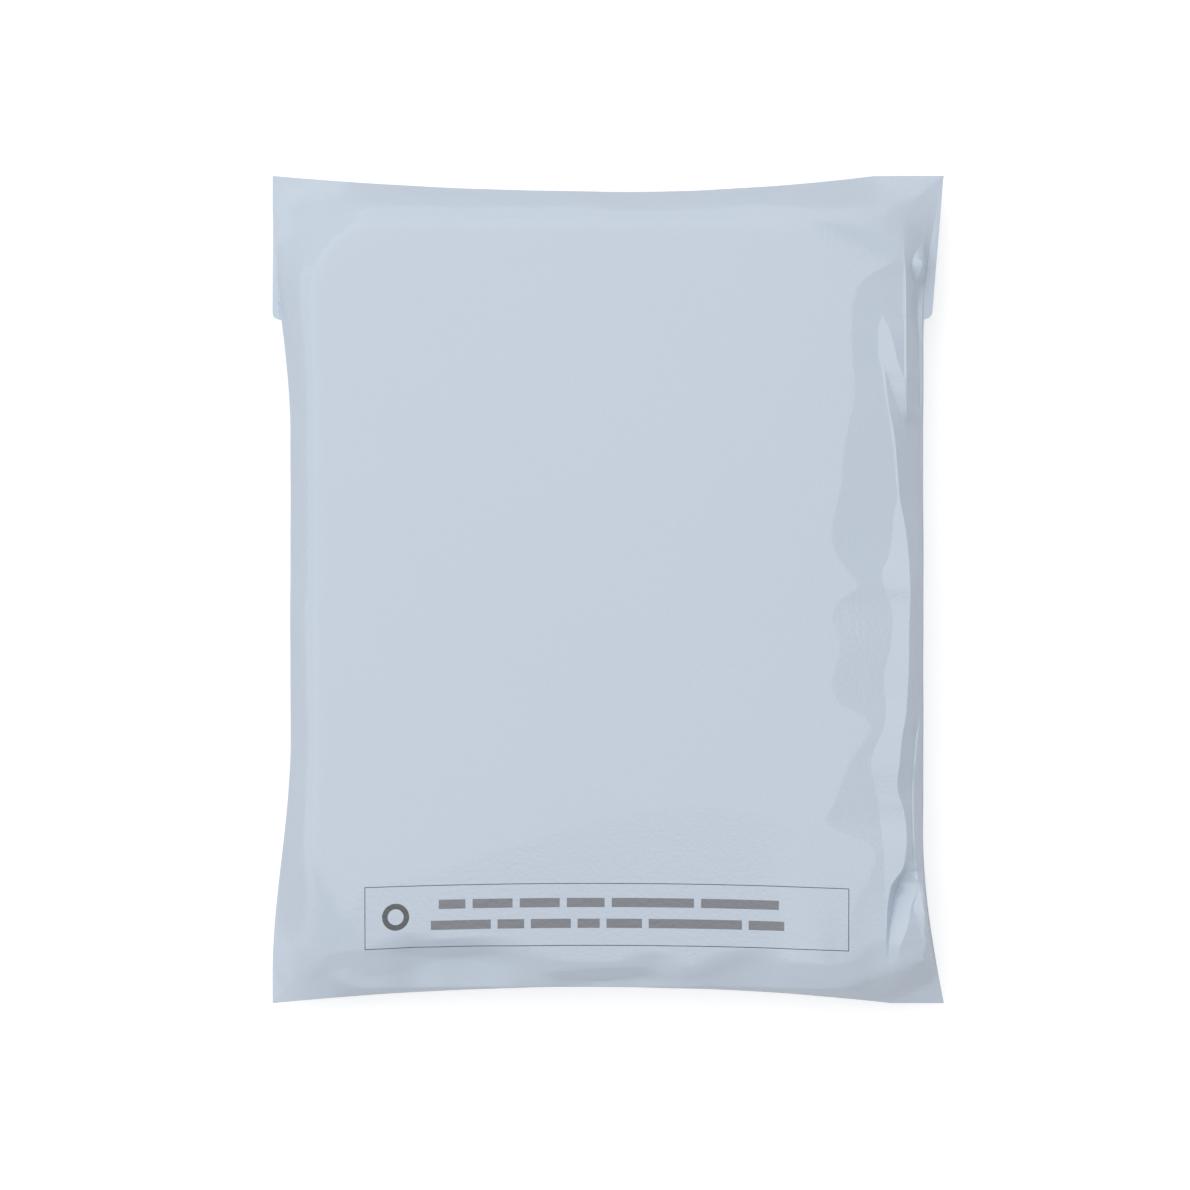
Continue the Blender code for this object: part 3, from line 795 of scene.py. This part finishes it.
class Nodes:
    """Short forms for building a material's node tree."""

    def __init__(self, material):
        material.use_nodes = True
        self.tree = material.node_tree
        self.shader = self.tree.nodes["Principled BSDF"]

    def add(self, kind, **settings):
        node = self.tree.nodes.new(kind)
        for name, value in settings.items():
            setattr(node, name, value)
        return node

    def link(self, source, target):
        self.tree.links.new(source, target)

    def math(self, operation, *values):
        node = self.add("ShaderNodeMath", operation=operation)
        for socket, value in zip(node.inputs, values):
            self.put(value, socket)
        return node.outputs[0]

    def put(self, value, socket):
        """Links a socket to another, or sets it where the value is a plain one."""
        if isinstance(value, bpy.types.NodeSocket):
            self.link(value, socket)
        else:
            socket.default_value = value

    def mix(self, share, first, second):
        node = self.add("ShaderNodeMix", data_type="RGBA")
        self.put(share, node.inputs["Factor"])
        self.put(first, node.inputs["A"])
        self.put(second, node.inputs["B"])
        return node.outputs["Result"]

    def range(self, value, low, high):
        node = self.add("ShaderNodeMapRange")
        self.put(value, node.inputs["Value"])
        node.inputs["To Min"].default_value = low
        node.inputs["To Max"].default_value = high
        return node.outputs["Result"]

    def noise(self, coordinates, scale, detail=2.0):
        node = self.add("ShaderNodeTexNoise")
        node.inputs["Scale"].default_value = scale
        node.inputs["Detail"].default_value = detail
        self.link(coordinates, node.inputs["Vector"])
        return node.outputs["Fac"]


def within(nodes, value, middle, reach):
    """1 where the value lies no further than this from the middle."""
    return nodes.math("COMPARE", value, middle, reach)


def panel_places(nodes):
    """(millimetres across the panel, millimetres up it) as sockets."""
    panel = nodes.add("ShaderNodeUVMap", uv_map="print").outputs["UV"]
    split = nodes.add("ShaderNodeSeparateXYZ")
    nodes.link(panel, split.inputs[0])
    return (
        nodes.math("MULTIPLY", split.outputs["X"], PRINT_WIDTH / MM),
        nodes.math("MULTIPLY", split.outputs["Y"], PRINT_HEIGHT / MM),
    )


def front_mask(nodes):
    """1 on the front film, where the surface faces up."""
    split = nodes.add("ShaderNodeSeparateXYZ")
    nodes.link(nodes.add("ShaderNodeNewGeometry").outputs["Normal"], split.inputs[0])
    return nodes.math("GREATER_THAN", split.outputs["Z"], 0.0)


def past_half(nodes, place, half):
    """How far a place lies past the panel's edge, counted from its middle: below 0 inside."""
    from_middle = nodes.math("ABSOLUTE", nodes.math("SUBTRACT", place, half))
    return nodes.math("SUBTRACT", from_middle, half)


def line_mask(nodes, across, up):
    """1 on the panel's outline and on the ring."""
    beside = past_half(nodes, across, PRINT_WIDTH / MM / 2)
    beyond = past_half(nodes, up, PRINT_HEIGHT / MM / 2)
    outline = within(nodes, nodes.math("MAXIMUM", beside, beyond), -PANEL_LINE / 2, PANEL_LINE / 2)
    offsets = [nodes.math("SUBTRACT", place, middle) for place, middle in zip((across, up), RING_MIDDLE)]
    squares = [nodes.math("MULTIPLY", offset, offset) for offset in offsets]
    from_middle = nodes.math("SQRT", nodes.math("ADD", *squares))
    ring = within(nodes, from_middle, RING_RADIUS, RING_LINE / 2)
    return nodes.math("MAXIMUM", outline, ring)


def bar_mask(nodes, across, up):
    """1 on the bars that stand for the rows of print."""
    rows = []
    for row in BAR_ROWS:
        bars = []
        start = row["start"]
        for length in row["lengths"]:
            bars.append(within(nodes, across, start + length / 2, length / 2))
            start += length + row["gap"]
        along_row = bars[0]
        for bar in bars[1:]:
            along_row = nodes.math("ADD", along_row, bar)
        rows.append(nodes.math("MULTIPLY", along_row, within(nodes, up, row["middle"], BAR_HEIGHT / 2)))
    return nodes.math("ADD", *rows)


def film_material():
    material = bpy.data.materials.new("mailer_film")
    nodes = Nodes(material)
    where = nodes.add("ShaderNodeTexCoord").outputs["Object"]
    cloud = nodes.noise(where, CLOUD_SCALE)
    smear = nodes.noise(where, SMEAR_SCALE)
    grain = nodes.noise(where, GRAIN_SCALE)
    lighter = tuple(c * CLOUD_GAIN for c in FILM_COLOUR[:3]) + (1.0,)
    colour = nodes.mix(cloud, FILM_COLOUR, lighter)
    across, up = panel_places(nodes)
    front = front_mask(nodes)
    bars = nodes.math("MULTIPLY", bar_mask(nodes, across, up), front)
    lines = nodes.math("MULTIPLY", line_mask(nodes, across, up), front)
    colour = nodes.mix(bars, colour, BAR_COLOUR)
    colour = nodes.mix(lines, colour, INK_COLOUR)
    nodes.link(colour, nodes.shader.inputs["Base Color"])
    nodes.link(nodes.range(smear, *FILM_ROUGHNESS), nodes.shader.inputs["Roughness"])
    bump = nodes.add("ShaderNodeBump")
    bump.inputs["Strength"].default_value = GRAIN_STRENGTH
    bump.inputs["Distance"].default_value = GRAIN_DEPTH
    nodes.link(grain, bump.inputs["Height"])
    nodes.link(bump.outputs["Normal"], nodes.shader.inputs["Normal"])
    return material


def floor_piece():
    bpy.ops.mesh.primitive_plane_add(size=FLOOR_SIZE, location=(0, 0, -FLOOR_DROP))
    floor = bpy.context.object
    floor.name = "floor"
    material = bpy.data.materials.new("floor")
    nodes = Nodes(material)
    nodes.shader.inputs["Base Color"].default_value = FLOOR_COLOUR
    nodes.shader.inputs["Roughness"].default_value = FLOOR_ROUGHNESS
    nodes.shader.inputs["Specular IOR Level"].default_value = 0.0
    nodes.shader.inputs["Emission Color"].default_value = (1.0, 1.0, 1.0, 1.0)
    to_camera = nodes.add("ShaderNodeLightPath").outputs["Is Camera Ray"]
    glow = nodes.math("MULTIPLY", to_camera, FLOOR_GLOW)
    nodes.link(glow, nodes.shader.inputs["Emission Strength"])
    floor.data.materials.append(material)
    return floor


def add_lamp(name, place, target, size, radiance):
    lamp = bpy.data.lights.new(name, "AREA")
    lamp.shape = "RECTANGLE"
    lamp.size, lamp.size_y = size
    lamp.energy = radiance * math.pi * size[0] * size[1]
    softbox = bpy.data.objects.new(name, lamp)
    softbox.location = place
    softbox.rotation_euler = (Vector(target) - Vector(place)).to_track_quat("-Z", "Y").to_euler()
    bpy.context.scene.collection.objects.link(softbox)


def set_world():
    """A white world that is dimmer as a light than where it is seen or reflected."""
    world = bpy.data.worlds.new("studio")
    bpy.context.scene.world = world
    world.use_nodes = True
    tree = world.node_tree
    background = tree.nodes["Background"]
    background.inputs["Color"].default_value = (1.0, 1.0, 1.0, 1.0)
    path = tree.nodes.new("ShaderNodeLightPath")
    seen = path.outputs["Is Camera Ray"]
    for kind in ("Is Glossy Ray", "Is Transmission Ray"):
        either = tree.nodes.new("ShaderNodeMath")
        either.operation = "MAXIMUM"
        tree.links.new(seen, either.inputs[0])
        tree.links.new(path.outputs[kind], either.inputs[1])
        seen = either.outputs[0]
    level = tree.nodes.new("ShaderNodeMapRange")
    level.inputs["To Min"].default_value = WORLD_LIGHT
    level.inputs["To Max"].default_value = WORLD_SEEN
    tree.links.new(seen, level.inputs["Value"])
    tree.links.new(level.outputs["Result"], background.inputs["Strength"])


def add_camera():
    data = bpy.data.cameras.new("camera")
    data.lens = LENS
    data.sensor_width = SENSOR
    data.clip_end = VIEW_END
    camera = bpy.data.objects.new("camera", data)
    distance = VIEW_WIDTH / SENSOR * LENS
    camera.location = (*VIEW_CENTRE, OUTLINE_HEIGHT + distance)
    bpy.context.scene.collection.objects.link(camera)
    bpy.context.scene.camera = camera


def main():
    bpy.context.scene.view_settings.view_transform = "Standard"
    film = film_piece()
    film.data.materials.append(film_material())
    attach(film, "root")
    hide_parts("mailer_bag")
    floor_piece()
    for lamp in LAMPS:
        add_lamp(**lamp)
    set_world()
    add_camera()


main()
